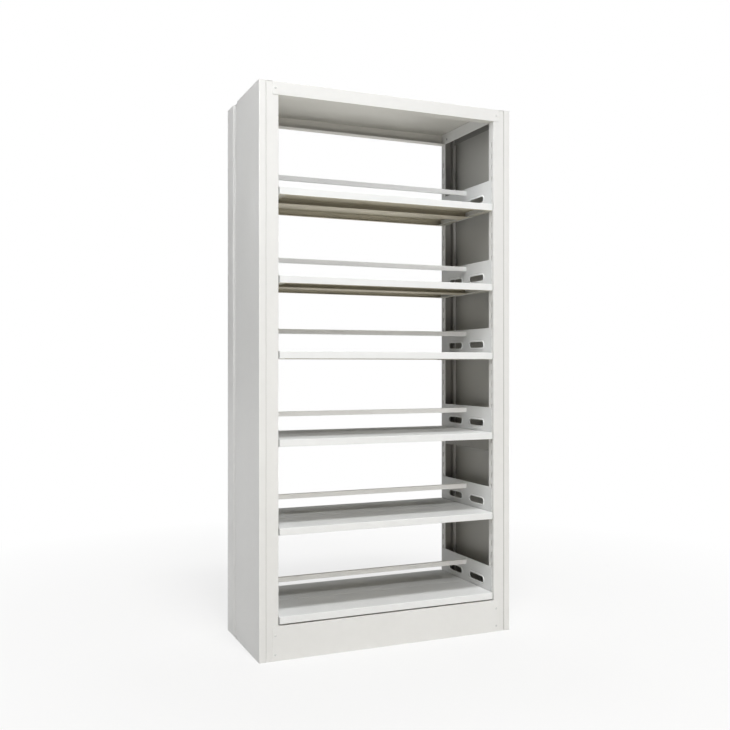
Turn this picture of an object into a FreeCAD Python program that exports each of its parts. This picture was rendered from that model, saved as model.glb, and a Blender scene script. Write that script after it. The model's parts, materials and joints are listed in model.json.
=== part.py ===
"""Double sided library shelving: a row bay of folded sheet steel with six levels of hung shelf boards.

Millimetres, +Z up. The origin is on the floor under the middle of the bay. X runs along the row,
-Y is the front aisle and +Y the rear one.
"""

import FreeCAD, Part
import math
import os
import Sketcher

MODEL = FreeCAD.newDocument("LibraryShelving")

# Every driving dimension, in millimetres unless it says otherwise.
SIZES = (
    ("row_length", 1000.0, "over the outer faces of the two side panels"),
    ("row_depth", 425.0, "over the front and rear kick plates"),
    ("row_height", 2000.0, "floor to the top panel"),
    ("cover_sheet", 1.2, "sheet of the side panels, top panel and kick plates"),
    ("bend_radius", 2.0, "outside radius of the folds"),
    ("column_sheet", 1.5, "sheet of the columns"),
    ("column_width", 45.0, "column, along the row"),
    ("column_depth", 35.0, "column, into the bay"),
    ("column_lip", 8.0, "lip on the column's outer flange"),
    ("foot_thickness", 3.0, "foot cap under a column"),
    ("foot_plug", 12.0, "height of the foot cap's plug inside the column"),
    ("plug_fit", 0.3, "clearance round the foot cap's plug"),
    ("slot_pitch", 43.75, "spacing of the hanging slots"),
    ("first_slot", 63.0, "floor to the lower edge of the lowest slot"),
    ("slot_height", 20.0, "hanging slot, up the column"),
    ("slot_width", 4.5, "hanging slot, across the flange"),
    ("slot_inset", 15.0, "column face to the middle of the slots"),
    ("slot_top_margin", 100.0, "least plain length above the highest slot"),
    ("rail_sheet", 1.5, "sheet of the side rails"),
    ("rail_height", 45.0, "side rail, top to bottom"),
    ("mid_rail_top", 735.0, "floor to the top of the middle side rail"),
    ("low_rail_top", 105.0, "floor to the top of the bottom side rail"),
    ("panel_depth", 25.0, "side panel, from its outer face to the column"),
    ("panel_lip", 14.0, "inner lip of the side panel, against the column"),
    ("panel_seam", 0.5, "gap between a side panel's top flange and the top panel"),
    ("flute_width", 60.0, "chord of the side panel's flute"),
    ("flute_depth", 6.0, "depth of the side panel's flute"),
    ("flute_from_edge", 107.0, "edge of the side panel to the middle of its flute"),
    ("cover_overlap", 22.0, "lap of the fascias and kick plates over the column faces"),
    ("fascia_height", 46.0, "fascia of the top panel"),
    ("fascia_return", 38.0, "flange under the fascia"),
    ("return_fit", 0.3, "gap between a cover's flange and the columns"),
    ("kick_return", 15.0, "top and bottom flanges of a kick plate"),
    ("kick_gap", 5.0, "gap between a kick plate and the lowest shelf boards"),
    ("shelf_sheet", 1.2, "sheet of the shelf boards"),
    ("shelf_height", 25.0, "shelf board, surface to underside"),
    ("shelf_setback", 2.0, "kick plate face to the lip of the shelf boards"),
    ("shelf_seam", 1.0, "gap between the front and rear boards"),
    ("shelf_end_gap", 2.5, "gap between a board and a hanger plate"),
    ("lip_return", 14.0, "flange under the aisle side of a board"),
    ("seam_return", 38.0, "flange under the centre side of a board"),
    ("end_return", 14.0, "flange under the ends of a board"),
    ("hanger_sheet", 1.5, "sheet of the hanger plates"),
    ("hanger_rise", 95.0, "shelf surface to the top of a hanger plate"),
    ("hanger_corner", 4.0, "corner radius of a hanger plate"),
    ("ledge_width", 28.0, "ledge under the boards, out from the hanger plate"),
    ("ledge_start", 62.5, "middle of the depth to the ledge"),
    ("ledge_chamfer", 6.0, "chamfer of the ledge's corner"),
    ("oval_length", 107.0, "oval slot in a hanger plate"),
    ("oval_height", 23.0, "oval slot, top to bottom"),
    ("oval_offset", 85.0, "middle of the depth to the middle of an oval slot"),
    ("oval_rise", 32.0, "shelf surface to the middle of an oval slot"),
    ("hook_seat", 0.5, "shelf surface to the slot edge that a hook sits on"),
    ("hook_height", 11.0, "hook where it passes through the slot"),
    ("hook_nose", 7.0, "hook's drop behind the flange"),
    ("hook_reach", 5.0, "thickness of the hook's nose, along the row"),
    ("hook_chamfer", 2.5, "chamfer of the hook's upper corner"),
    ("hook_fit", 0.3, "clearance between the hook's nose and the flange"),
    ("bar_height", 18.0, "stop bar, top to bottom"),
    ("bar_depth", 10.0, "stop bar, front to rear"),
    ("bar_sheet", 1.2, "wall of the stop bar"),
    ("bar_rise", 77.0, "shelf surface to the middle of the stop bar"),
    ("tab_reach", 8.0, "tab inside the end of the stop bar"),
    ("tab_height", 10.0, "tab, top to bottom"),
)

# Slots from the lowest one up to the slot that each level hangs on.
LEVEL_SLOTS = (2, 9, 16, 23, 29, 36)

LEFT, RIGHT = -1, 1
FRONT, REAR = -1, 1
END_NAMES = {LEFT: "left", RIGHT: "right"}
AISLE_NAMES = {FRONT: "front", REAR: "rear"}
HOOKS_PER_END = 2


class Dim:
    """A size as a number and as the expression of the sheet's cells that keeps it live."""

    def __init__(self, number, text):
        self.number = number
        self.text = text

    def __add__(self, other):
        other = as_dim(other)
        return Dim(self.number + other.number, f"({self.text} + {other.text})")

    def __sub__(self, other):
        other = as_dim(other)
        return Dim(self.number - other.number, f"({self.text} - {other.text})")

    def __mul__(self, other):
        other = as_dim(other)
        return Dim(self.number * other.number, f"({self.text} * {other.text})")

    def __truediv__(self, other):
        other = as_dim(other)
        return Dim(self.number / other.number, f"({self.text} / {other.text})")

    def __neg__(self):
        return self * -1

    def __radd__(self, other):
        return as_dim(other) + self

    def __rsub__(self, other):
        return as_dim(other) - self

    def __rmul__(self, other):
        return as_dim(other) * self

    def root(self):
        return Dim(math.sqrt(self.number), f"sqrt({self.text})")


def as_dim(value):
    """A plain number as a size, and a size as itself."""
    if isinstance(value, Dim):
        return value
    return Dim(float(value), f"({value})")


def bind(item, prop, dim):
    """Tie a property of a document object to a size."""
    item.setExpression(prop, as_dim(dim).text)


def make_sheet():
    """The spreadsheet of driving dimensions, and the same sizes by name."""
    sheet = MODEL.addObject("Spreadsheet::Sheet", "Sizes")
    sizes = {}
    rows = list(SIZES)
    for level, slots in enumerate(LEVEL_SLOTS, start=1):
        rows.append((f"level_slot_{level}", slots, f"slots up to the one that level {level} hangs on"))
    for row, (name, value, note) in enumerate(rows, start=1):
        sheet.set(f"A{row}", name)
        sheet.set(f"B{row}", str(value))
        sheet.set(f"C{row}", note)
        sheet.setAlias(f"B{row}", name)
        sizes[name] = Dim(float(value), f"Sizes.{name}")
    MODEL.recompute()
    return sizes


S = make_sheet()

# Lines that the pieces share, worked out from the sheet.
HALF_LENGTH = S["row_length"] / 2
HALF_DEPTH = S["row_depth"] / 2
COLUMN_FACE = HALF_DEPTH - S["cover_sheet"]
COLUMN_OUTER = HALF_LENGTH - S["panel_depth"]
COLUMN_INNER = COLUMN_OUTER - S["column_width"]
COLUMN_BACK = COLUMN_FACE - S["column_depth"]
COLUMN_TOP = S["row_height"] - S["cover_sheet"]
SLOT_LINE = COLUMN_FACE - S["slot_inset"]
COVER_END = COLUMN_INNER + S["cover_overlap"]
PLATE_FACE = COLUMN_INNER - S["hanger_sheet"]
PLATE_END = SLOT_LINE + S["hanger_sheet"] / 2
BOARD_END = PLATE_FACE - S["shelf_end_gap"]
LEDGE_LEVEL = -(S["shelf_height"] + S["hanger_sheet"])


def level_top(level):
    """Floor to the shelf surface of a level, counted from 1 at the bottom."""
    return S["first_slot"] + S["slot_pitch"] * S[f"level_slot_{level}"] - S["hook_seat"]


KICK_HEIGHT = level_top(1) - S["shelf_height"] - S["kick_gap"]


def make_body(label):
    """An empty body with its label."""
    body = MODEL.addObject("PartDesign::Body", label)
    body.Label = label
    return body


def place(item, x, y, z, turn=0):
    """Put a sub-part's own origin at a point, turned about the vertical by a number of degrees."""
    turned = FreeCAD.Rotation(FreeCAD.Vector(0, 0, 1), turn)
    item.Placement = FreeCAD.Placement(FreeCAD.Vector(), turned)
    bind(item, "Placement.Base.x", x)
    bind(item, "Placement.Base.y", y)
    bind(item, "Placement.Base.z", z)


def make_sketch(body, name, plane, lift=0):
    """An empty sketch on one of the body's own origin planes, lifted off it along +X, +Y or +Z."""
    sketch = body.newObject("Sketcher::SketchObject", name)
    origin_plane = next(item for item in body.Origin.OriginFeatures if item.Role == f"{plane}_Plane")
    sketch.AttachmentSupport = (origin_plane, "")
    sketch.MapMode = "FlatFace"
    # The XZ plane's own normal points along -Y.
    along_normal = -as_dim(lift) if plane == "XZ" else as_dim(lift)
    bind(sketch, "AttachmentOffset.Base.z", along_normal)
    return sketch


def fix(sketch, kind, geometry, point, dim):
    """Hold one coordinate of a sketch point at a size."""
    dim = as_dim(dim)
    index = sketch.addConstraint(Sketcher.Constraint(kind, geometry, point, dim.number))
    sketch.setExpression(f"Constraints[{index}]", dim.text)


def fix_radius(sketch, geometry, dim):
    """Hold the radius of an arc or circle at a size."""
    index = sketch.addConstraint(Sketcher.Constraint("Radius", geometry, dim.number))
    sketch.setExpression(f"Constraints[{index}]", dim.text)


def draw_side(sketch, start, end, centre=None):
    """One side of an outline, straight or an arc about a centre. Returns it with its two end points."""
    first = FreeCAD.Vector(start[0].number, start[1].number, 0)
    last = FreeCAD.Vector(end[0].number, end[1].number, 0)
    if centre is None:
        return sketch.addGeometry(Part.LineSegment(first, last), False), 1, 2
    middle = FreeCAD.Vector(centre[0], centre[1], 0)
    spoke_in = first - middle
    spoke_out = last - middle
    anticlockwise = spoke_in.x * spoke_out.y - spoke_in.y * spoke_out.x > 0
    low, high = (spoke_in, spoke_out) if anticlockwise else (spoke_out, spoke_in)
    circle = Part.Circle(middle, FreeCAD.Vector(0, 0, 1), spoke_in.Length)
    arc = Part.ArcOfCircle(circle, math.atan2(low.y, low.x), math.atan2(high.y, high.x))
    side = sketch.addGeometry(arc, False)
    return (side, 1, 2) if anticlockwise else (side, 2, 1)


def direction(start, end):
    """The way from one corner to the next, as -1, 0 or 1 along each axis."""
    across = end[0].number - start[0].number
    up = end[1].number - start[1].number
    return (across > 0) - (across < 0), (up > 0) - (up < 0)


def draw_outline(sketch, corners, bows=None):
    """A closed outline whose corners are all tied to the sheet.

    A corner is (x, y), or (x, y, radius) where a fold or a cut rounds it. The sides beside a rounded
    corner run along the axes. bows maps a corner's number to (radius, x, y): the side that leaves that
    corner is an arc of that radius about x, y.
    """
    bows = bows or {}
    corners = [tuple(as_dim(value) for value in corner) for corner in corners]
    sides = []
    points = []
    for number, corner in enumerate(corners):
        x, y = corner[:2]
        if len(corner) == 2:
            points.append((x, y))
            bow = bows.get(number)
            sides.append(bow)
            continue
        radius = corner[2]
        came = direction(corners[number - 1], corner)
        goes = direction(corner, corners[(number + 1) % len(corners)])
        centre_x = x - radius * came[0] + radius * goes[0]
        centre_y = y - radius * came[1] + radius * goes[1]
        points.append((x - radius * came[0], y - radius * came[1]))
        sides.append((radius, centre_x, centre_y))
        points.append((x + radius * goes[0], y + radius * goes[1]))
        sides.append(None)
    drawn = []
    for number, start in enumerate(points):
        end = points[(number + 1) % len(points)]
        bow = sides[number]
        centre = (bow[1].number, bow[2].number) if bow else None
        drawn.append(draw_side(sketch, start, end, centre))
    for number, (side, first, last) in enumerate(drawn):
        following, following_first, _ = drawn[(number + 1) % len(drawn)]
        sketch.addConstraint(Sketcher.Constraint("Coincident", side, last, following, following_first))
        fix(sketch, "DistanceX", side, first, points[number][0])
        fix(sketch, "DistanceY", side, first, points[number][1])
        if sides[number]:
            fix_radius(sketch, side, sides[number][0])


def draw_rectangle(sketch, low, high):
    """A rectangle between two opposite corners."""
    draw_outline(sketch, [low, (high[0], low[1]), high, (low[0], high[1])])


def draw_oval(sketch, x, y, length, height):
    """A level slot with round ends, about a middle point."""
    x, y = as_dim(x), as_dim(y)
    radius = height / 2
    reach = length / 2 - radius
    corners = [(x - reach, y - radius), (x + reach, y - radius), (x + reach, y + radius), (x - reach, y + radius)]
    sides = []
    for number, start in enumerate(corners):
        if number % 2 == 0:
            sides.append(draw_side(sketch, start, corners[number + 1]))
            continue
        middle = FreeCAD.Vector(start[0].number, y.number, 0)
        begins = -math.pi / 2 if number == 1 else math.pi / 2
        circle = Part.Circle(middle, FreeCAD.Vector(0, 0, 1), radius.number)
        arc = sketch.addGeometry(Part.ArcOfCircle(circle, begins, begins + math.pi), False)
        sides.append((arc, 1, 2))
        fix(sketch, "DistanceX", arc, 3, start[0])
        fix(sketch, "DistanceY", arc, 3, y)
        fix_radius(sketch, arc, radius)
    for number, (side, first, last) in enumerate(sides):
        following, following_first, _ = sides[(number + 1) % len(sides)]
        sketch.addConstraint(Sketcher.Constraint("Coincident", side, last, following, following_first))
        fix(sketch, "DistanceX", side, first, corners[number][0])


def pad(body, sketch, length, both_ways=False, backwards=False):
    """Extrude a sketch, from its plane or by half its length each way."""
    feature = body.newObject("PartDesign::Pad", f"{sketch.Name}_pad")
    feature.Profile = sketch
    bind(feature, "Length", length)
    feature.SideType = "Symmetric" if both_ways else "One side"
    feature.Reversed = backwards
    sketch.Visibility = False
    return feature


def pocket(body, sketch, length, both_ways=False, backwards=False):
    """Cut a sketch away, against its plane's normal unless it is backwards."""
    feature = body.newObject("PartDesign::Pocket", f"{sketch.Name}_pocket")
    feature.Profile = sketch
    bind(feature, "Length", length)
    feature.SideType = "Symmetric" if both_ways else "One side"
    feature.Reversed = backwards
    sketch.Visibility = False
    return feature


def make_upright(end, aisle):
    """A folded C-channel column: face, slotted flange to the shelves, lipped flange to the side panel.

    Its own origin is at the foot of the edge between the face and the slotted flange.
    """
    sheet, width, depth, lip = S["column_sheet"], S["column_width"], S["column_depth"], S["column_lip"]
    bend = S["bend_radius"]
    body = make_body(f"upright_{AISLE_NAMES[aisle]}_{END_NAMES[end]}")
    section = [
        (0, 0, bend),
        (width, 0, bend),
        (width, depth, bend),
        (width - lip, depth),
        (width - lip, depth - sheet),
        (width - sheet, depth - sheet),
        (width - sheet, sheet),
        (sheet, sheet),
        (sheet, depth),
        (0, depth),
    ]
    profile = make_sketch(body, "section", "XY")
    draw_outline(profile, [(end * corner[0], -aisle * corner[1], *corner[2:]) for corner in section])
    pad(body, profile, COLUMN_TOP - S["foot_thickness"])

    slot = make_sketch(body, "hanging_slot", "YZ")
    middle = -aisle * S["slot_inset"]
    foot = S["first_slot"] - S["foot_thickness"]
    half = S["slot_width"] / 2
    draw_rectangle(slot, (middle - half, foot), (middle + half, foot + S["slot_height"]))
    lowest = pocket(body, slot, 4 * sheet, both_ways=True)
    slots = body.newObject("PartDesign::LinearPattern", "hanging_slots")
    slots.Originals = [lowest]
    slots.Direction = (slot, ["V_Axis"])
    slots.Mode = "Spacing"
    bind(slots, "Offset", S["slot_pitch"])
    room = S["row_height"] - S["slot_top_margin"] - S["first_slot"] - S["slot_height"]
    slots.setExpression("Occurrences", f"floor({(room / S['slot_pitch']).text}) + 1")
    body.Tip = slots
    place(body, end * COLUMN_INNER, aisle * COLUMN_FACE, S["foot_thickness"])
    return body


def make_side_rail(end, name, top):
    """An inverted channel between the front and rear columns of one end, its own origin at its top."""
    sheet, width, height, bend = S["rail_sheet"], S["column_width"], S["rail_height"], S["bend_radius"]
    body = make_body(f"{name}_side_rail_{END_NAMES[end]}")
    section = [
        (0, 0, bend),
        (width, 0, bend),
        (width, -height),
        (width - sheet, -height),
        (width - sheet, -sheet),
        (sheet, -sheet),
        (sheet, -height),
        (0, -height),
    ]
    profile = make_sketch(body, "section", "XZ")
    draw_outline(profile, [(end * corner[0], *corner[1:]) for corner in section])
    pad(body, profile, 2 * COLUMN_BACK, both_ways=True)
    place(body, end * COLUMN_INNER, 0, top)
    return body


def make_side_panel(end):
    """A folded pan that closes one end. Both ends take the same pressing, one turned half round.

    Its own origin is on the floor in the middle of its outer face, with +X into the bay.
    """
    sheet, depth, lip, bend = S["cover_sheet"], S["panel_depth"], S["panel_lip"], S["bend_radius"]
    edge = HALF_DEPTH
    middle = HALF_DEPTH - S["flute_from_edge"]
    half = S["flute_width"] / 2
    deep = S["flute_depth"]
    radius = (half * half + deep * deep) / (2 * deep)
    centre = deep - radius
    inner_half = (2 * (radius + sheet) * deep - deep * deep).root()
    section = [
        (0, middle - half),
        (0, middle + half),
        (0, edge, bend),
        (depth, edge, bend),
        (depth, edge - lip),
        (depth - sheet, edge - lip),
        (depth - sheet, edge - sheet),
        (sheet, edge - sheet),
        (sheet, middle + inner_half),
        (sheet, middle - inner_half),
        (sheet, sheet - edge),
        (depth - sheet, sheet - edge),
        (depth - sheet, lip - edge),
        (depth, lip - edge),
        (depth, -edge, bend),
        (0, -edge, bend),
    ]
    body = make_body(f"side_panel_{END_NAMES[end]}")
    profile = make_sketch(body, "section", "XY")
    draw_outline(profile, section, {0: (radius, centre, middle), 8: (radius + sheet, centre, middle)})
    pad(body, profile, S["row_height"])

    top = make_sketch(body, "top_flange", "XY", S["row_height"] - sheet)
    reach = HALF_LENGTH - COVER_END - S["panel_seam"]
    flange = [
        (0, middle - half),
        (0, middle + half),
        (0, edge, bend),
        (reach, edge),
        (reach, -edge),
        (0, -edge, bend),
    ]
    draw_outline(top, flange, {0: (radius, centre, middle)})
    pad(body, top, sheet)

    bottom = make_sketch(body, "bottom_flange", "XY")
    draw_outline(bottom, [(0, -edge, bend), (depth, -edge, bend), (depth, edge, bend), (0, edge, bend)])
    pad(body, bottom, sheet)
    place(body, end * HALF_LENGTH, 0, 0, turn=0 if end == LEFT else 180)
    return body


def make_top_panel():
    """An inverted tray: a top sheet, a fascia on each aisle and a flange under each fascia."""
    sheet, height, bend = S["cover_sheet"], S["fascia_height"], S["bend_radius"]
    edge = HALF_DEPTH
    body = make_body("top_panel")
    profile = make_sketch(body, "section", "YZ")
    section = [
        (-edge, -height),
        (-edge, 0, bend),
        (edge, 0, bend),
        (edge, -height),
        (edge - sheet, -height),
        (edge - sheet, -sheet),
        (sheet - edge, -sheet),
        (sheet - edge, -height),
    ]
    draw_outline(profile, section)
    pad(body, profile, 2 * COVER_END, both_ways=True)
    flanges = make_sketch(body, "flanges", "YZ")
    for aisle in (FRONT, REAR):
        outer = aisle * edge
        inner = aisle * (edge - S["fascia_return"])
        draw_rectangle(flanges, (inner, -height), (outer, sheet - height))
    pad(body, flanges, 2 * (COLUMN_INNER - S["return_fit"]), both_ways=True)
    place(body, 0, 0, S["row_height"])
    return body


def make_kick_plate(aisle):
    """A flanged plate under the lowest boards of one aisle, lapped over the column faces."""
    sheet = S["cover_sheet"]
    body = make_body(f"kick_plate_{AISLE_NAMES[aisle]}")
    face = make_sketch(body, "face", "YZ")
    inward = -aisle * sheet
    draw_rectangle(face, (0, 0), (inward, KICK_HEIGHT))
    pad(body, face, 2 * COVER_END, both_ways=True)
    flanges = make_sketch(body, "flanges", "YZ")
    reach = -aisle * S["kick_return"]
    draw_rectangle(flanges, (0, 0), (reach, sheet))
    draw_rectangle(flanges, (0, KICK_HEIGHT - sheet), (reach, KICK_HEIGHT))
    pad(body, flanges, 2 * (COLUMN_INNER - S["return_fit"]), both_ways=True)
    place(body, 0, aisle * HALF_DEPTH, 0)
    return body


def make_shelf_board(level, aisle):
    """A pan folded down on all four sides and inward under them, its own origin on its surface."""
    sheet, height, bend = S["shelf_sheet"], S["shelf_height"], S["bend_radius"]
    seam = S["shelf_seam"] / 2
    lip = HALF_DEPTH - S["shelf_setback"]
    body = make_body(f"shelf_board_{level}_{AISLE_NAMES[aisle]}")
    block = make_sketch(body, "block", "YZ")
    corners = [(seam, -height), (lip, -height), (lip, 0, bend), (seam, 0, bend)]
    draw_outline(block, [(aisle * corner[0], *corner[1:]) for corner in corners])
    pad(body, block, 2 * BOARD_END, both_ways=True)

    opening = make_sketch(body, "opening", "XY", -sheet)
    across = BOARD_END - S["end_return"]
    near = aisle * (seam + S["seam_return"])
    far = aisle * (lip - S["lip_return"])
    draw_rectangle(opening, (-across, near), (across, far))
    pocket(body, opening, height)
    hollow = make_sketch(body, "hollow", "XY", -sheet)
    across = BOARD_END - sheet
    draw_rectangle(hollow, (-across, aisle * (seam + sheet)), (across, aisle * (lip - sheet)))
    pocket(body, hollow, height - 2 * sheet)
    place(body, 0, 0, level_top(level))
    return body


def make_hanger_plate(level, end):
    """An end plate that hangs on the columns and carries the boards, with ledges, hooks and a tab.

    Its own origin is on the column flanges, in the middle of the depth, level with the shelf surface.
    The sheet lies on the bay side of that plane and the hooks on the other.
    """
    sheet, pitch = S["hanger_sheet"], S["slot_pitch"]
    inward = -end
    body = make_body(f"hanger_plate_{level}_{END_NAMES[end]}")
    plate = make_sketch(body, "plate", "YZ")
    corner = S["hanger_corner"]
    draw_outline(plate, [
        (-PLATE_END, LEDGE_LEVEL),
        (PLATE_END, LEDGE_LEVEL),
        (PLATE_END, S["hanger_rise"], corner),
        (-PLATE_END, S["hanger_rise"], corner),
    ])
    pad(body, plate, sheet, backwards=inward < 0)

    ledges = make_sketch(body, "ledges", "XY", LEDGE_LEVEL)
    for aisle in (FRONT, REAR):
        start = aisle * S["ledge_start"]
        finish = aisle * PLATE_END
        reach = inward * S["ledge_width"]
        chamfer = S["ledge_chamfer"]
        draw_outline(ledges, [
            (0, start),
            (reach - inward * chamfer, start),
            (reach, start + aisle * chamfer),
            (reach, finish),
            (0, finish),
        ])
    pad(body, ledges, sheet)

    # Each hook passes through its slot, rests on the slot's lower edge and drops behind the flange.
    outward = end
    behind = S["column_sheet"] + S["hook_fit"]
    for aisle in (FRONT, REAR):
        hooks = make_sketch(body, f"hooks_{AISLE_NAMES[aisle]}", "XZ", aisle * SLOT_LINE)
        for number in range(HOOKS_PER_END):
            seat = S["hook_seat"] + number * pitch
            tip = behind + S["hook_reach"]
            top = seat + S["hook_height"]
            outline = [
                (-sheet, seat),
                (behind, seat),
                (behind, seat - S["hook_nose"]),
                (tip, seat - S["hook_nose"]),
                (tip, top - S["hook_chamfer"]),
                (tip - S["hook_chamfer"], top),
                (-sheet, top),
            ]
            draw_outline(hooks, [(outward * corner[0], *corner[1:]) for corner in outline])
        pad(body, hooks, sheet, both_ways=True)

    # The tab inside the stop bar is cut from the plate and folded in, which leaves a window beside it.
    tab = make_sketch(body, "bar_tab", "XZ")
    tab_top = S["bar_rise"] + S["bar_height"] / 2 - S["bar_sheet"]
    tab_foot = tab_top - S["tab_height"]
    draw_rectangle(tab, (0, tab_foot), (inward * (sheet + S["tab_reach"]), tab_top))
    pad(body, tab, sheet, both_ways=True)

    cuts = make_sketch(body, "ovals_and_window", "YZ")
    for aisle in (FRONT, REAR):
        draw_oval(cuts, aisle * S["oval_offset"], S["oval_rise"], S["oval_length"], S["oval_height"])
    draw_rectangle(cuts, (sheet / 2, tab_foot), (sheet / 2 + S["tab_reach"], tab_top))
    pocket(body, cuts, 4 * sheet, both_ways=True)
    place(body, end * COLUMN_INNER, 0, level_top(level))
    return body


def make_stop_bar(level):
    """A rectangular tube between two hanger plates, in the middle of the depth."""
    depth, height, wall = S["bar_depth"] / 2, S["bar_height"] / 2, S["bar_sheet"]
    body = make_body(f"stop_bar_{level}")
    profile = make_sketch(body, "section", "YZ")
    draw_rectangle(profile, (-depth, -height), (depth, height))
    draw_rectangle(profile, (wall - depth, wall - height), (depth - wall, height - wall))
    pad(body, profile, 2 * PLATE_FACE, both_ways=True)
    place(body, 0, 0, level_top(level) + S["bar_rise"])
    return body


def make_box(name, size, corner):
    """A Part box of three sizes with its low corner at a point."""
    box = MODEL.addObject("Part::Box", name)
    for prop, value in zip(("Length", "Width", "Height"), size):
        bind(box, prop, value)
    for prop, value in zip("xyz", corner):
        bind(box, f"Placement.Base.{prop}", value)
    return box


def make_group(label, members):
    """Separate identical solids that share one node."""
    group = MODEL.addObject("Part::Compound", label)
    group.Label = label
    group.Links = members
    return group


def make_foot_cap(end, aisle):
    """A cap that closes the foot of a column, with a plug between its flanges."""
    name = f"foot_{AISLE_NAMES[aisle]}_{END_NAMES[end]}"
    sheet, fit = S["column_sheet"], S["plug_fit"]
    width, depth = S["column_width"], S["column_depth"]
    plug_width = width - 2 * (sheet + fit)
    plug_depth = depth - 2 * (sheet + fit)
    low_x = COLUMN_INNER if end == RIGHT else -COLUMN_OUTER
    low_y = COLUMN_BACK if aisle == REAR else -COLUMN_FACE
    base = make_box(f"{name}_base", (width, depth, S["foot_thickness"]), (low_x, low_y, 0))
    plug_corner = (low_x + sheet + fit, low_y + sheet + fit, 0)
    plug = make_box(f"{name}_plug", (plug_width, plug_depth, S["foot_thickness"] + S["foot_plug"]), plug_corner)
    cap = MODEL.addObject("Part::Fuse", f"{name}_cap")
    cap.Base = base
    cap.Tool = plug
    return cap


def build():
    """Every sub-part of the bay."""
    nodes = [make_top_panel()]
    for end in (LEFT, RIGHT):
        nodes.append(make_side_panel(end))
        nodes.append(make_side_rail(end, "top", COLUMN_TOP))
        nodes.append(make_side_rail(end, "mid", S["mid_rail_top"]))
        nodes.append(make_side_rail(end, "bottom", S["low_rail_top"]))
        for aisle in (FRONT, REAR):
            nodes.append(make_upright(end, aisle))
    for aisle in (FRONT, REAR):
        nodes.append(make_kick_plate(aisle))
    for level in range(1, len(LEVEL_SLOTS) + 1):
        for end in (LEFT, RIGHT):
            nodes.append(make_hanger_plate(level, end))
        for aisle in (FRONT, REAR):
            nodes.append(make_shelf_board(level, aisle))
        nodes.append(make_stop_bar(level))
    caps = [make_foot_cap(end, aisle) for end in (LEFT, RIGHT) for aisle in (FRONT, REAR)]
    nodes.append(make_group("foot_caps", caps))
    MODEL.recompute()
    return nodes


def check(nodes):
    """Stop if any object failed, any cut missed its solid, or any sub-part has no sound shape."""
    for item in MODEL.Objects:
        if "Invalid" in item.State or "Error" in item.State:
            raise RuntimeError(f"{item.Label} failed: {item.State}")
        if item.isDerivedFrom("PartDesign::Pocket"):
            if item.Shape.Volume >= item.BaseFeature.Shape.Volume:
                raise RuntimeError(f"{item.Label} cuts nothing")
    for node in nodes:
        if node.Shape.isNull() or not node.Shape.isValid():
            raise RuntimeError(f"{node.Label} has no valid shape")


NODES = build()
check(NODES)
os.makedirs("parts", exist_ok=True)
for node in NODES:
    node.Shape.exportStep(f"parts/{node.Label}.step")
    box = node.Shape.BoundBox
    print(f"{node.Label}: {len(node.Shape.Solids)} solids, {box.XLength:.1f} x {box.YLength:.1f} x {box.ZLength:.1f}")
print(len(NODES), "nodes")
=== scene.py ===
"""The looks of a double sided library shelving bay: powder coated sheet steel in plain studio light.

Metres, in the row frame: X along the bay, -Y towards the front aisle, +Z up.
"""

import json
import math

import bmesh
import bpy
from mathutils import Matrix, Vector


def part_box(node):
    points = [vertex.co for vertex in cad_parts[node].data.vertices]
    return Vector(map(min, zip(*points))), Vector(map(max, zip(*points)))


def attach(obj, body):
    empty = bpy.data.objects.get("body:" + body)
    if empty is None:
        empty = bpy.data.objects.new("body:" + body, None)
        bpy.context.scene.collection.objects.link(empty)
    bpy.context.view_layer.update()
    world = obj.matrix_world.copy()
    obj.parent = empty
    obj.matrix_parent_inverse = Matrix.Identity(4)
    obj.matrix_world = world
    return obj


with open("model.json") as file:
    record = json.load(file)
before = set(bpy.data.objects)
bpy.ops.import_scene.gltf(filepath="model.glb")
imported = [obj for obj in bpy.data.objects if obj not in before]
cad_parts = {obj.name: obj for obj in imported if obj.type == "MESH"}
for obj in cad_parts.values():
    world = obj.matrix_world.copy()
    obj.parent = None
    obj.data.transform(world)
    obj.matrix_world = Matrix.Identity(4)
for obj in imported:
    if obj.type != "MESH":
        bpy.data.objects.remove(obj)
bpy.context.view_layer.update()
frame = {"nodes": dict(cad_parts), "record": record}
NODES = frame["nodes"]
SLOT_OF = {part["node"]: part["material_slot"] for part in frame["record"]["subparts"]}
LEVELS = sum(name.startswith("stop_bar_") for name in NODES)

# A box's corners, and a corner's numbers by axis.
LOW, HIGH = 0, 1
X, Y, Z = 0, 1, 2

# The middle of a rear board in depth, of a right column along the row, and of a fascia in height.
BOARD_MIDDLE = sum(corner[Y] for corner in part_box("shelf_board_1_rear")) / 2
COLUMN_MIDDLE = sum(corner[X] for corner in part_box("upright_rear_right")) / 2
FASCIA_MIDDLE = sum(corner[Z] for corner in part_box("top_panel")) / 2

# The photograph's camera, fitted to the six outer corners of the bay.
SENSOR_WIDTH = 36.0
PHOTO_WIDTH = 730
FOCAL_PIXELS = 893.2
CAMERA_PLACE = (-1.368, -3.1625, 1.021)
CAMERA_YAW = 23.16
CAMERA_REACH = 100.0

# Pan head screws that hold the covers, and where they sit.
SCREW_HEAD = 0.008
SCREW_RISE = 0.0012
SCREW_SHANK = 0.004
SCREW_GRIP = 0.006
RECESS_LENGTH = 0.0044
RECESS_WIDTH = 0.0009
RECESS_DEPTH = 0.0008
KICK_SCREW_LINES = (0.022, 0.088)
PANEL_SCREW_INSET = 0.011
PANEL_SCREW_SPACING = 0.260

# A screw's crown, as shares of its head's radius and rise.
SCREW_CROWN = ((1.0, 0.0), (0.985, 0.35), (0.90, 0.66), (0.72, 0.87), (0.45, 0.97), (0.15, 1.0))

# Blind rivets at the ends of the side rails. The end of each one's core in the head is painted near black:
# partly the core's bare steel, mostly painted shade of the hole.
RIVET_HEAD = 0.011
RIVET_RISE = 0.0013
RIVET_SHANK = 0.0062
RIVET_LENGTH = 0.009
RIVET_CORE = 0.0060
RIVET_FROM_END = 0.012
RIVET_FROM_TOP = 0.026

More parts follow.
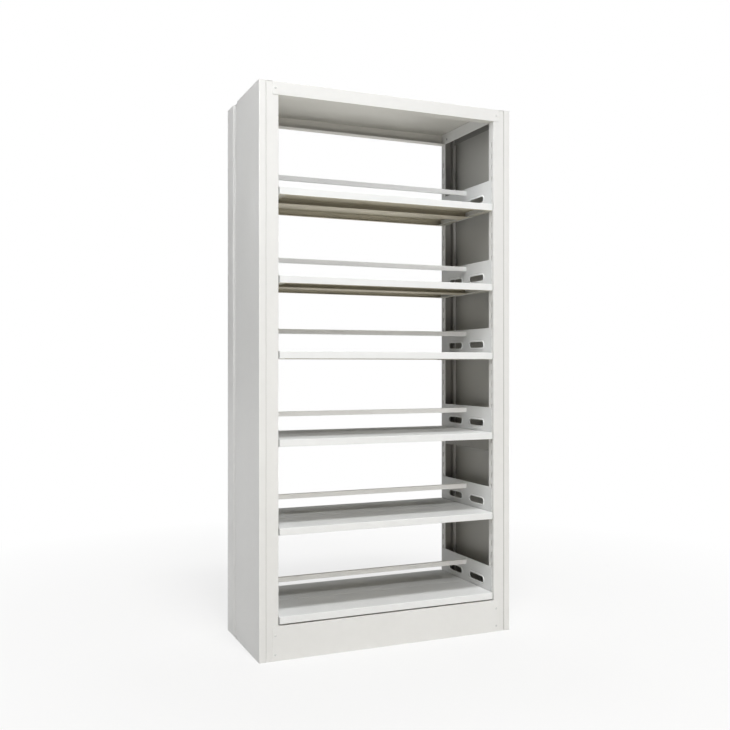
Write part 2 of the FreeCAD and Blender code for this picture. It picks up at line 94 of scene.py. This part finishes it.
# A rivet's crown, as shares of its head's radius and rise, and the well in it, as shares of its core's
# radius and the head's rise. A face within the margin of the core's radius is part of its end.
RIVET_CROWN = ((1.0, 0.0), (0.97, 0.45), (0.88, 0.85))
RIVET_WELL = ((1.25, 1.0), (1.05, 0.80), (1.0, 0.40), (0.97, 0.10), (0.60, 0.16))
CORE_MARGIN = 1.01

# Sides of a turned form, and the distance within which a cut's points are one.
TURNED_SIDES = 32
SAME_POINT = 0.000005

# How far the first fastener of a row is turned about its own line, and what each next one adds, in degrees.
FIRST_TURN = 17
NEXT_TURN = 43

# Pressed rims round the oval slots of the hanger plates.
OVAL_LENGTH = 0.107
OVAL_HEIGHT = 0.023
OVAL_OFFSET = 0.085
OVAL_RISE = 0.032
PLATE_SHEET = 0.0015
ARC_STEPS = 14

# A rim's section: outwards from the slot's edge, and out of the sheet's bay side.
RIM_SECTION = (
    (0.0054, -0.0003),
    (0.0052, 0.0004),
    (0.0045, 0.0012),
    (0.0035, 0.0018),
    (0.0024, 0.0020),
    (0.0012, 0.0018),
    (0.0004, 0.0012),
    (-0.0001, 0.0004),
    (-0.0003, -0.0005),
    (-0.0003, -PLATE_SHEET),
    (0.0006, -PLATE_SHEET + 0.0002),
    (0.0012, -0.0003),
)

# Edges that turn more than this look sharp, in degrees.
SHARP_EDGE = 35
SHARP_RIM_EDGE = 60

# Powder coat. Scales are in cycles per metre, and heights and the radius of a fold in metres.
CLOUD_SCALE = 3.5
CLOUD_SHARE = 0.65
MOTTLE_SCALE = 38.0
MOTTLE_SHARE = 0.35
RIPPLE_SCALE = 650.0
RIPPLE_HEIGHT = 0.00003
WAVE_SCALE = 9.0
WAVE_HEIGHT = 0.0004
FOLD_RADIUS = 0.0016
# How much paler folds and edges are painted, and the palest they get: a painted highlight.
EDGE_HIGHLIGHT_GAIN = 1.14
EDGE_HIGHLIGHT_CAP = 0.94
COAT_SPECULAR = 0.3
GLOSSIER = 0.04
DULLER = 0.05
UNDER_DULLER = 0.40

# The ranges of a noise that hold most of its values, and nearly all of them.
NOISE_CORE = (0.35, 0.65)
NOISE_SPAN = (0.3, 0.7)

# Cosines between the true and the rounded normal, from a fold to flat sheet. The mottling lets through
# more of a fold's painted highlight as it goes from the first of its patches to the second.
FOLD_TURN = (0.75, 0.985)
FOLD_PATCHES = (0.40, 0.62)
FOLD_COVER = (0.50, 0.95)

# Cosines between a face and an axis, from turned against it, with painted shade, to turned clear of it.
TURNED_AWAY = (-0.6, -0.3)

# Zinc plate.
ZINC_DARK = (0.52, 0.53, 0.54)
ZINC_PALE = (0.70, 0.70, 0.68)
ZINC_ROUGHNESS = (0.26, 0.40)
BLOTCH_SCALE = 420.0
GRAIN_SCALE = 2600.0
GRAIN_HEIGHT = 0.00001

# The powder coats, with the arguments of powder_coat. The colours of recesses and of faces that look down are
# painted shade. A pressed rim's coat is paler than the flat sheet round it, a painted highlight. The side
# panels are coated as the other covers are, but with painted shade on the side towards the shelves.
COATS = {
    "cover_paint": {
        "paint": (0.79, 0.79, 0.78), "shade": (0.76, 0.76, 0.75), "roughness": 0.38,
        "shaded_hollows": [("Y", 0.0, (0.60, 0.59, 0.56))],
        "painted_under_shade": (0.60, 0.59, 0.55),
    },
    "frame_paint": {
        "paint": (0.78, 0.78, 0.77), "shade": (0.75, 0.75, 0.74), "roughness": 0.38,
        "shaded_hollows": [("X", COLUMN_MIDDLE, (0.29, 0.285, 0.27)), ("Y", 0.0, (0.38, 0.375, 0.36))],
        "painted_under_shade": (0.32, 0.315, 0.30),
    },
    # The mid side rails are painted dark all over: painted shade of the shelves over them.
    "mid_rail_painted_shade": {
        "paint": (0.27, 0.265, 0.25), "shade": (0.23, 0.225, 0.21), "roughness": 0.42,
    },
    "hanger_paint": {
        "paint": (0.77, 0.78, 0.78), "shade": (0.73, 0.74, 0.74), "roughness": 0.40,
        "painted_under_shade": (0.40, 0.385, 0.33),
    },
    "shelf_paint": {
        "paint": (0.82, 0.83, 0.83), "shade": (0.79, 0.80, 0.80), "roughness": 0.34,
        "shaded_hollows": [("Y", BOARD_MIDDLE, (0.46, 0.43, 0.35))],
        "painted_under_shade": (0.54, 0.50, 0.40),
    },
    # A whiter coat than the boards': partly painted light that lifts the stop bars out of the shade of the
    # level above.
    "bar_paint": {
        "paint": (0.91, 0.91, 0.90), "shade": (0.88, 0.88, 0.87), "roughness": 0.36,
    },
    # A paler coat than the hanger plates': a painted highlight on the pressed rims.
    "rim_painted_highlight": {
        "paint": (0.85, 0.86, 0.86), "shade": (0.82, 0.83, 0.83), "roughness": 0.38,
    },
    # The side towards the shelves is darker: painted shade.
    "side_paint": {
        "paint": (0.79, 0.79, 0.78), "shade": (0.76, 0.76, 0.75), "roughness": 0.38,
        "shaded_hollows": [("X", 0.0, (0.47, 0.465, 0.44))],
    },
    "rivet_core_painted_shade": {
        "paint": (0.050, 0.050, 0.048), "shade": (0.030, 0.030, 0.030), "roughness": 0.45,
    },
}

# The floor. Its share of plain white grows between two distances from the middle of the bay.
FLOOR_RADIUS = 30.0
FLOOR_SIDES = 96
FLOOR_DARK = (0.74, 0.735, 0.72)
FLOOR_PALE = (0.78, 0.775, 0.76)
FLOOR_GRAIN = 60.0
FADE_REACH = (0.9, 2.6)
WHITE_SHARE = (0.75, 1.0)

# The world's weak even light, and the wall that a reflection sees behind the bay: how far a ray turns to
# it, from white to dark, and how bright it is there.
EVEN_TINT = (0.95, 0.98, 1.0)
EVEN_STRENGTH = 0.05
WALL_TURN = (0.40, 0.80)
WALL_DARK = 0.04

# The tints of lights, and their spread in degrees. Light that comes back off a studio floor is a little
# warm, and a grid narrows a soft box's spread.
WHITE = (1.0, 1.0, 1.0)
WARM = (1.0, 0.94, 0.82)
OPEN = 180
GRID = 60

# Soft boxes: name, place, the point it is turned to, width and height, watts, tint and spread.
LAMPS = (
    ("key", (-0.8, -2.9, 8.0), (0, 0, 1.0), (2.4, 0.8), 370, WHITE, OPEN),
    ("front_high", (-0.6, -7.0, 7.2), (0, 0, 1.0), (2.4, 1.2), 275, WHITE, OPEN),
    ("front_low", (0.0, -2.8, 0.1), (0, -0.1, 1.4), (2.6, 0.6), 21, WARM, OPEN),
    ("left_grid", (-3.0, -1.3, 2.4), (0.2, -0.1, 1.9), (1.0, 1.0), 3.8, WHITE, GRID),
    ("left_fill", (-4.2, -0.2, 1.4), (-0.5, 0, 1.1), (2.0, 2.4), 22, WHITE, OPEN),
    ("left_rear", (-3.4, 2.4, 1.1), (0, 0, 1.0), (1.8, 1.4), 7, WHITE, OPEN),
    ("right_fill", (4.2, 0.2, 1.4), (0.5, 0, 1.1), (2.0, 2.4), 27, WHITE, OPEN),
    ("right_rear", (3.6, 2.8, 1.1), (0, 0, 1.0), (1.8, 1.4), 12, WHITE, OPEN),
    ("back_key", (0.9, 1.8, 7.6), (0, 0, 1.0), (2.4, 1.2), 90, WHITE, OPEN),
    ("back_low", (6.0, 4.5, 0.15), (0, 0, 1.0), (3.0, 0.28), 280, WHITE, OPEN),
)


def add_object(name, data):
    """A new object in the scene."""
    item = bpy.data.objects.new(name, data)
    bpy.context.scene.collection.objects.link(item)
    return item


def to_mesh(name, form):
    """A new mesh with a finished form."""
    mesh = bpy.data.meshes.new(name)
    form.to_mesh(mesh)
    form.free()
    return mesh


def make_camera():
    """The photograph's viewpoint: level, a metre above the floor, off the left front corner."""
    data = bpy.data.cameras.new("camera")
    data.sensor_width = SENSOR_WIDTH
    data.lens = FOCAL_PIXELS / PHOTO_WIDTH * SENSOR_WIDTH
    data.clip_end = CAMERA_REACH
    camera = add_object("camera", data)
    camera.location = CAMERA_PLACE
    camera.rotation_euler = (math.radians(90), 0, math.radians(-CAMERA_YAW))
    bpy.context.scene.camera = camera


class Tree:
    """Adds and wires the nodes of one material or world."""

    def __init__(self, owner):
        owner.use_nodes = True
        self.nodes = owner.node_tree.nodes
        self.links = owner.node_tree.links
        self.nodes.clear()

    def feed(self, socket, value):
        """Gives an input a value, or links another node's output to it."""
        if isinstance(value, bpy.types.NodeSocket):
            self.links.new(value, socket)
        else:
            socket.default_value = value

    def add(self, kind, inputs=None, **settings):
        """A node with its inputs and settings."""
        node = self.nodes.new(f"ShaderNode{kind}")
        for name, value in settings.items():
            setattr(node, name, value)
        for name, value in (inputs or {}).items():
            self.feed(node.inputs[name], value)
        return node

    def math(self, operation, first, second=0.0):
        """The output of a Math node."""
        return self.add("Math", {0: first, 1: second}, operation=operation).outputs[0]

    def noise(self, coordinates, scale, detail=2.0, roughness=0.5):
        """The 0 to 1 value of a noise texture."""
        inputs = {"Vector": coordinates, "Scale": scale, "Detail": detail, "Roughness": roughness}
        return self.add("TexNoise", inputs).outputs["Fac"]

    def remap(self, value, low, high, to_low, to_high):
        """A value carried from one range to another, held at its ends."""
        inputs = {"Value": value, "From Min": low, "From Max": high, "To Min": to_low, "To Max": to_high}
        return self.add("MapRange", inputs).outputs["Result"]

    def mix(self, factor, first, second):
        """The colour between two colours."""
        node = self.add("Mix", data_type="RGBA")
        for socket, value in (("Factor_Float", factor), ("A_Color", first), ("B_Color", second)):
            self.feed(next(item for item in node.inputs if item.identifier == socket), value)
        return next(item for item in node.outputs if item.identifier == "Result_Color")

    def bump(self, height, distance, **inputs):
        """The normal of a surface raised by a height, on the true normal or on one that is given."""
        inputs.update(Height=height, Distance=distance, Strength=1.0)
        return self.add("Bump", inputs).outputs[0]

    def show(self, shader, output="OutputMaterial"):
        """Wires a shader to the output of the material or world."""
        self.links.new(shader.outputs[0], self.add(output).inputs["Surface"])


def colour(red, green, blue):
    """A linear colour with full cover."""
    return (red, green, blue, 1.0)


def powder_coat(name, paint, shade, roughness, shaded_hollows=(), painted_under_shade=None):
    """Powder coated steel: a paint and its slightly darker shade, orange peel and a painted highlight on
    edges.

    Faces turned into folded sheet take another, darker colour: painted shade. The colour for faces that look
    down is painted shade too. A hollow is an axis, a distance and a colour: faces that look along the axis
    towards the line that far to either side of the bay's middle take that colour, as painted shade.
    """
    material = bpy.data.materials.new(name)
    tree = Tree(material)
    place = tree.add("TexCoord").outputs["Object"]
    true_normal = tree.add("NewGeometry").outputs["Normal"]

    # Broad clouds of coat thickness, and finer mottling within them.
    clouds = tree.noise(place, CLOUD_SCALE, detail=3.0)
    mottle = tree.noise(place, MOTTLE_SCALE, detail=3.0, roughness=0.6)
    broad = tree.math("MULTIPLY", clouds, CLOUD_SHARE)
    fine = tree.math("MULTIPLY", mottle, MOTTLE_SHARE)
    cover = tree.math("ADD", broad, fine)
    coat = tree.mix(tree.remap(cover, *NOISE_CORE, 0.0, 1.0), colour(*shade), colour(*paint))

    # Folds and cut edges are painted paler than the flat sheet: a painted highlight. The rounded normal
    # leaves the true one there.
    rounded = tree.add("Bevel", {"Radius": FOLD_RADIUS}, samples=4).outputs["Normal"]
    along = tree.add("VectorMath", {0: true_normal, 1: rounded}, operation="DOT_PRODUCT").outputs["Value"]
    fold = tree.remap(along, *FOLD_TURN, 1.0, 0.0)
    edge_highlight_share = tree.math("MULTIPLY", fold, tree.remap(mottle, *FOLD_PATCHES, *FOLD_COVER))
    painted_edge_highlight = colour(*(min(channel * EDGE_HIGHLIGHT_GAIN, EDGE_HIGHLIGHT_CAP) for channel in paint))
    coat = tree.mix(edge_highlight_share, coat, painted_edge_highlight)

    facing = tree.add("SeparateXYZ", {0: true_normal}).outputs
    spot = tree.add("SeparateXYZ", {0: place}).outputs
    # Faces turned into the folds and recesses take a darker colour: painted shade.
    for axis, distance, painted_shade in shaded_hollows:
        beyond = tree.math("SIGN", tree.math("SUBTRACT", tree.math("ABSOLUTE", spot[axis]), distance))
        outward = tree.math("MULTIPLY", tree.math("SIGN", spot[axis]), beyond)
        inward = tree.math("MULTIPLY", facing[axis], outward)
        coat = tree.mix(tree.remap(inward, *TURNED_AWAY, 1.0, 0.0), coat, colour(*painted_shade))
    gloss = tree.remap(cover, *NOISE_SPAN, roughness - GLOSSIER, roughness + DULLER)
    # Faces that look down take a darker, warmer colour, painted shade, and a duller gloss.
    if painted_under_shade:
        coat = tree.mix(tree.remap(facing["Z"], *TURNED_AWAY, 1.0, 0.0), coat, colour(*painted_under_shade))
        gloss = tree.math("ADD", gloss, tree.remap(facing["Z"], *TURNED_AWAY, UNDER_DULLER, 0.0))

    # Orange peel: ripples about a millimetre and a half long, over a slow waviness of the sheet.
    ripples = tree.bump(tree.noise(place, RIPPLE_SCALE, detail=1.5), RIPPLE_HEIGHT, Normal=rounded)
    waves = tree.bump(tree.noise(place, WAVE_SCALE, detail=1.0), WAVE_HEIGHT, Normal=ripples)

    tree.show(tree.add("BsdfPrincipled", {
        "Base Color": coat,
        "Roughness": gloss,
        "Normal": waves,
        "Specular IOR Level": COAT_SPECULAR,
    }))
    return material


def zinc_plate(name):
    """Zinc plated steel: cool, faintly blotched, softly reflecting."""
    material = bpy.data.materials.new(name)
    tree = Tree(material)
    place = tree.add("TexCoord").outputs["Object"]
    blotches = tree.noise(place, BLOTCH_SCALE, detail=3.0, roughness=0.6)
    pale = tree.remap(blotches, *NOISE_CORE, 0.0, 1.0)
    tree.show(tree.add("BsdfPrincipled", {
        "Base Color": tree.mix(pale, colour(*ZINC_DARK), colour(*ZINC_PALE)),
        "Metallic": 1.0,
        "Roughness": tree.remap(blotches, *NOISE_SPAN, *ZINC_ROUGHNESS),
        "Normal": tree.bump(tree.noise(place, GRAIN_SCALE), GRAIN_HEIGHT),
    }))
    return material


def turned_mesh(name, profile):
    """A form turned about +Z from (radius, height) points, with a flat fan at each end."""
    form = bmesh.new()
    rings = []
    for reach, height in profile:
        ring = []
        for number in range(TURNED_SIDES):
            angle = 2 * math.pi * number / TURNED_SIDES
            ring.append(form.verts.new((reach * math.cos(angle), reach * math.sin(angle), height)))
        rings.append(ring)
    first = form.verts.new((0, 0, profile[0][1]))
    last = form.verts.new((0, 0, profile[-1][1]))
    for number in range(TURNED_SIDES):
        following = (number + 1) % TURNED_SIDES
        for low, high in zip(rings, rings[1:]):
            form.faces.new((low[number], low[following], high[following], high[number]))
        form.faces.new((rings[0][following], rings[0][number], first))
        form.faces.new((rings[-1][number], rings[-1][following], last))
    bmesh.ops.recalc_face_normals(form, faces=form.faces)
    return to_mesh(name, form)


def fastener_profile(shank, length, *parts):
    """The profile of a fastener from its tip up. A part is a radius, a rise, and points as shares of them."""
    profile = [(shank / 2, -length), (shank / 2, 0.0)]
    for radius, rise, shares in parts:
        profile += [(radius * across, rise * up) for across, up in shares]
    return profile


def screw_mesh():
    """A pan head screw pointing along +Z, with its head's seat at the origin and no recess yet."""
    crown = (SCREW_HEAD / 2, SCREW_RISE, SCREW_CROWN)
    return turned_mesh("screw", fastener_profile(SCREW_SHANK, SCREW_GRIP, crown))


def rivet_mesh():
    """A blind rivet pointing along +Z, its head's seat at the origin and its core's end faces marked."""
    core = RIVET_CORE / 2
    crown = (RIVET_HEAD / 2, RIVET_RISE, RIVET_CROWN)
    well = (core, RIVET_RISE, RIVET_WELL)
    mesh = turned_mesh("rivet", fastener_profile(RIVET_SHANK, RIVET_LENGTH, crown, well))
    # The core's end faces take the second material, near black: painted shade of the rivet's hole.
    for face in mesh.polygons:
        within = all(mesh.vertices[index].co.xy.length <= core * CORE_MARGIN for index in face.vertices)
        if within and face.center.z > 0:
            face.material_index = 1
    return mesh


def cut_recess(mesh):
    """The same screw with a cross recess cut into its crown."""
    blank = add_object("screw_blank", mesh)
    form = bmesh.new()
    for turn in (0, 90):
        size = Matrix.Diagonal((RECESS_LENGTH, RECESS_WIDTH, 2 * RECESS_DEPTH, 1.0))
        spot = Matrix.Translation((0, 0, SCREW_RISE)) @ Matrix.Rotation(math.radians(turn), 4, "Z")
        bmesh.ops.create_cube(form, size=1.0, matrix=spot @ size)
    cutter = add_object("recess", to_mesh("recess", form))
    cut = blank.modifiers.new("recess", "BOOLEAN")
    cut.operation = "DIFFERENCE"
    cut.solver = "EXACT"
    cut.use_self = True
    cut.object = cutter
    bpy.context.view_layer.update()
    evaluated = blank.evaluated_get(bpy.context.evaluated_depsgraph_get())
    finished = bpy.data.meshes.new_from_object(evaluated)
    for item in (blank, cutter):
        bpy.data.objects.remove(item)

    # The cut leaves points that coincide at the recess's corners.
    form = bmesh.new()
    form.from_mesh(finished)
    bmesh.ops.remove_doubles(form, verts=form.verts, dist=SAME_POINT)
    bmesh.ops.dissolve_degenerate(form, edges=form.edges, dist=SAME_POINT)
    form.to_mesh(finished)
    form.free()
    return finished


def add_piece(name, form, body, materials, sharp=SHARP_EDGE):
    """A finished form as a piece that rides on a body, smooth but for its sharp edges."""
    mesh = to_mesh(name, form)
    for material in materials:
        mesh.materials.append(material)
    for face in mesh.polygons:
        face.use_smooth = True
    mesh.set_sharp_from_angle(angle=math.radians(sharp))
    piece = add_object(name, mesh)
    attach(piece, body)


def set_fasteners(name, pattern, seats, materials):
    """Copies of a fastener on the frame, as one piece. A seat is a point and the way its head faces."""
    form = bmesh.new()
    for number, (seat, outward) in enumerate(seats):
        start = len(form.verts)
        form.from_mesh(pattern)
        form.verts.ensure_lookup_table()
        turned = Matrix.Rotation(math.radians(FIRST_TURN + NEXT_TURN * number), 4, "Z")
        aim = Vector(outward).to_track_quat("Z", "Y").to_matrix().to_4x4()
        seated = Matrix.Translation(seat) @ aim @ turned
        bmesh.ops.transform(form, matrix=seated, verts=form.verts[start:])
    add_piece(name, form, "frame", materials)


def cover_seats(heights):
    """Screws in the laps of the covers over the column faces, at some heights."""
    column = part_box("upright_rear_right")[LOW]
    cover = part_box("kick_plate_rear")[HIGH]
    across = (column[X] + cover[X]) / 2
    return [
        ((side * across, aisle * cover[Y], height), (0, aisle, 0))
        for aisle in (-1, 1) for side in (-1, 1) for height in heights
    ]


def panel_seats():
    """Screws through the top flanges of the side panels into the top side rails."""
    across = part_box("top_side_rail_right")[HIGH][X] - PANEL_SCREW_INSET
    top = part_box("side_panel_right")[HIGH][Z]
    reach = PANEL_SCREW_SPACING / 2
    return [((side * across, aisle * reach, top), (0, 0, 1)) for side in (-1, 1) for aisle in (-1, 1)]


def rivet_seats():
    """Rivets at both ends of the top and bottom side rails, on the face towards the shelves."""
    seats = []
    for rail in ("top", "bottom"):
        low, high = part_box(f"{rail}_side_rail_right")
        reach = high[Y] - RIVET_FROM_END
        height = high[Z] - RIVET_FROM_TOP
        for side in (-1, 1):
            for aisle in (-1, 1):
                seats.append(((side * low[X], aisle * reach, height), (-side, 0, 0)))
    return seats


def oval_line(offset):
    """The points of an oval slot's edge, moved outwards by an offset, about its middle."""
    radius = OVAL_HEIGHT / 2
    straight = OVAL_LENGTH / 2 - radius
    line = []
    for way in (1, -1):
        for step in range(ARC_STEPS + 1):
            angle = math.pi * (step / ARC_STEPS - 0.5)
            across = straight + (radius + offset) * math.cos(angle)
            line.append((way * across, way * (radius + offset) * math.sin(angle)))
    return line


def make_rims(level, end, material):
    """The pressed rims of one hanger plate's oval slots, raised on the bay side and lining the sheet."""
    name = "right" if end > 0 else "left"
    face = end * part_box(f"stop_bar_{level}")[HIGH][X]
    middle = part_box(f"shelf_board_{level}_front")[HIGH][Z] + OVAL_RISE
    form = bmesh.new()
    for aisle in (-1, 1):
        loops = []
        for offset, rise in RIM_SECTION:
            line = oval_line(offset)
            points = [(face - end * rise, aisle * OVAL_OFFSET + across, middle + up) for across, up in line]
            loops.append([form.verts.new(point) for point in points])
        count = len(loops[0])
        for low, high in zip(loops, loops[1:] + loops[:1]):
            for number in range(count):
                following = (number + 1) % count
                form.faces.new((low[number], low[following], high[following], high[number]))
    bmesh.ops.recalc_face_normals(form, faces=form.faces)
    piece = f"oval_rims_{level}_{name}"
    add_piece(piece, form, f"level_{level}", [material], sharp=SHARP_RIM_EDGE)


def paint_nodes(materials):
    """Each CAD node takes the material of its slot in the record, or its own finish of that slot: the side
    panels' finish has painted shade on the side towards the shelves, and the mid side rails' finish is dark
    all over as painted shade.
    """
    for name, item in NODES.items():
        paint = SLOT_OF[name]
        if name.startswith("side_panel_"):
            paint = "side_paint"
        elif name.startswith("mid_side_rail_"):
            paint = "mid_rail_painted_shade"
        item.data.materials.clear()
        item.data.materials.append(materials[paint])


def make_floor():
    """A pale floor that fades to the white background, and keeps the bay's soft shadow."""
    form = bmesh.new()
    bmesh.ops.create_circle(form, cap_ends=True, segments=FLOOR_SIDES, radius=FLOOR_RADIUS)
    mesh = to_mesh("floor", form)
    floor = add_object("floor", mesh)

    material = bpy.data.materials.new("floor")
    tree = Tree(material)
    place = tree.add("TexCoord").outputs["Object"]
    away = tree.add("VectorMath", {0: place}, operation="LENGTH").outputs["Value"]
    rays = tree.add("LightPath").outputs
    seen = tree.math("MAXIMUM", rays["Is Camera Ray"], rays["Is Glossy Ray"])
    seen = tree.math("MAXIMUM", seen, rays["Is Transmission Ray"])
    grain = tree.noise(place, FLOOR_GRAIN, detail=4.0)
    tone = tree.mix(grain, colour(*FLOOR_DARK), colour(*FLOOR_PALE))
    matt = tree.add("BsdfDiffuse", {"Color": tone}).outputs[0]
    white = tree.add("Emission", {"Color": colour(*WHITE), "Strength": 1.0}).outputs[0]
    share = tree.math("MULTIPLY", seen, tree.remap(away, *FADE_REACH, *WHITE_SHARE))
    tree.show(tree.add("MixShader", {0: share, 1: matt, 2: white}))
    mesh.materials.append(material)


def make_world():
    """White behind the bay, a weak even light on it, and a darker wall for what is reflected at a graze."""
    world = bpy.data.worlds.new("studio")
    bpy.context.scene.world = world
    tree = Tree(world)
    rays = tree.add("LightPath").outputs
    way = tree.add("SeparateXYZ", {0: tree.add("TexCoord").outputs["Generated"]}).outputs
    seen = tree.math("MAXIMUM", rays["Is Camera Ray"], rays["Is Transmission Ray"])
    wall = tree.remap(way["Y"], *WALL_TURN, 1.0, WALL_DARK)
    bright = tree.math("MAXIMUM", seen, tree.math("MULTIPLY", rays["Is Glossy Ray"], wall))
    mirrored = tree.math("MAXIMUM", seen, rays["Is Glossy Ray"])
    even = tree.add("Background", {"Color": colour(*EVEN_TINT), "Strength": EVEN_STRENGTH}).outputs[0]
    white = tree.add("Background", {"Color": colour(*WHITE), "Strength": bright}).outputs[0]
    tree.show(tree.add("MixShader", {0: mirrored, 1: even, 2: white}), output="OutputWorld")


def make_lamp(name, place, aim, size, power, tint, spread):
    """A soft box of a width and height, at a place, turned to a point."""
    data = bpy.data.lights.new(name, "AREA")
    data.shape = "RECTANGLE"
    data.size, data.size_y = size
    data.energy = power
    data.color = tint
    data.spread = math.radians(spread)
    lamp = add_object(name, data)
    lamp.location = place
    lamp.rotation_euler = (Vector(aim) - Vector(place)).to_track_quat("-Z", "Y").to_euler()


make_camera()
make_world()
for lamp in LAMPS:
    make_lamp(*lamp)
make_floor()

MATERIALS = {name: powder_coat(name, **coat) for name, coat in COATS.items()}
MATERIALS["fastener"] = zinc_plate("fastener")
paint_nodes(MATERIALS)

SCREW = cut_recess(screw_mesh())
SCREW_SEATS = {
    "fascia_screws": cover_seats([FASCIA_MIDDLE]),
    "kick_plate_screws": cover_seats(KICK_SCREW_LINES),
    "side_panel_screws": panel_seats(),
}
for name, seats in SCREW_SEATS.items():
    set_fasteners(name, SCREW, seats, [MATERIALS["fastener"]])
RIVET_FINISH = [MATERIALS["frame_paint"], MATERIALS["rivet_core_painted_shade"]]
set_fasteners("rail_rivets", rivet_mesh(), rivet_seats(), RIVET_FINISH)
for level in range(1, LEVELS + 1):
    for end in (-1, 1):
        make_rims(level, end, MATERIALS["rim_painted_highlight"])

bpy.context.scene.view_settings.view_transform = "Standard"
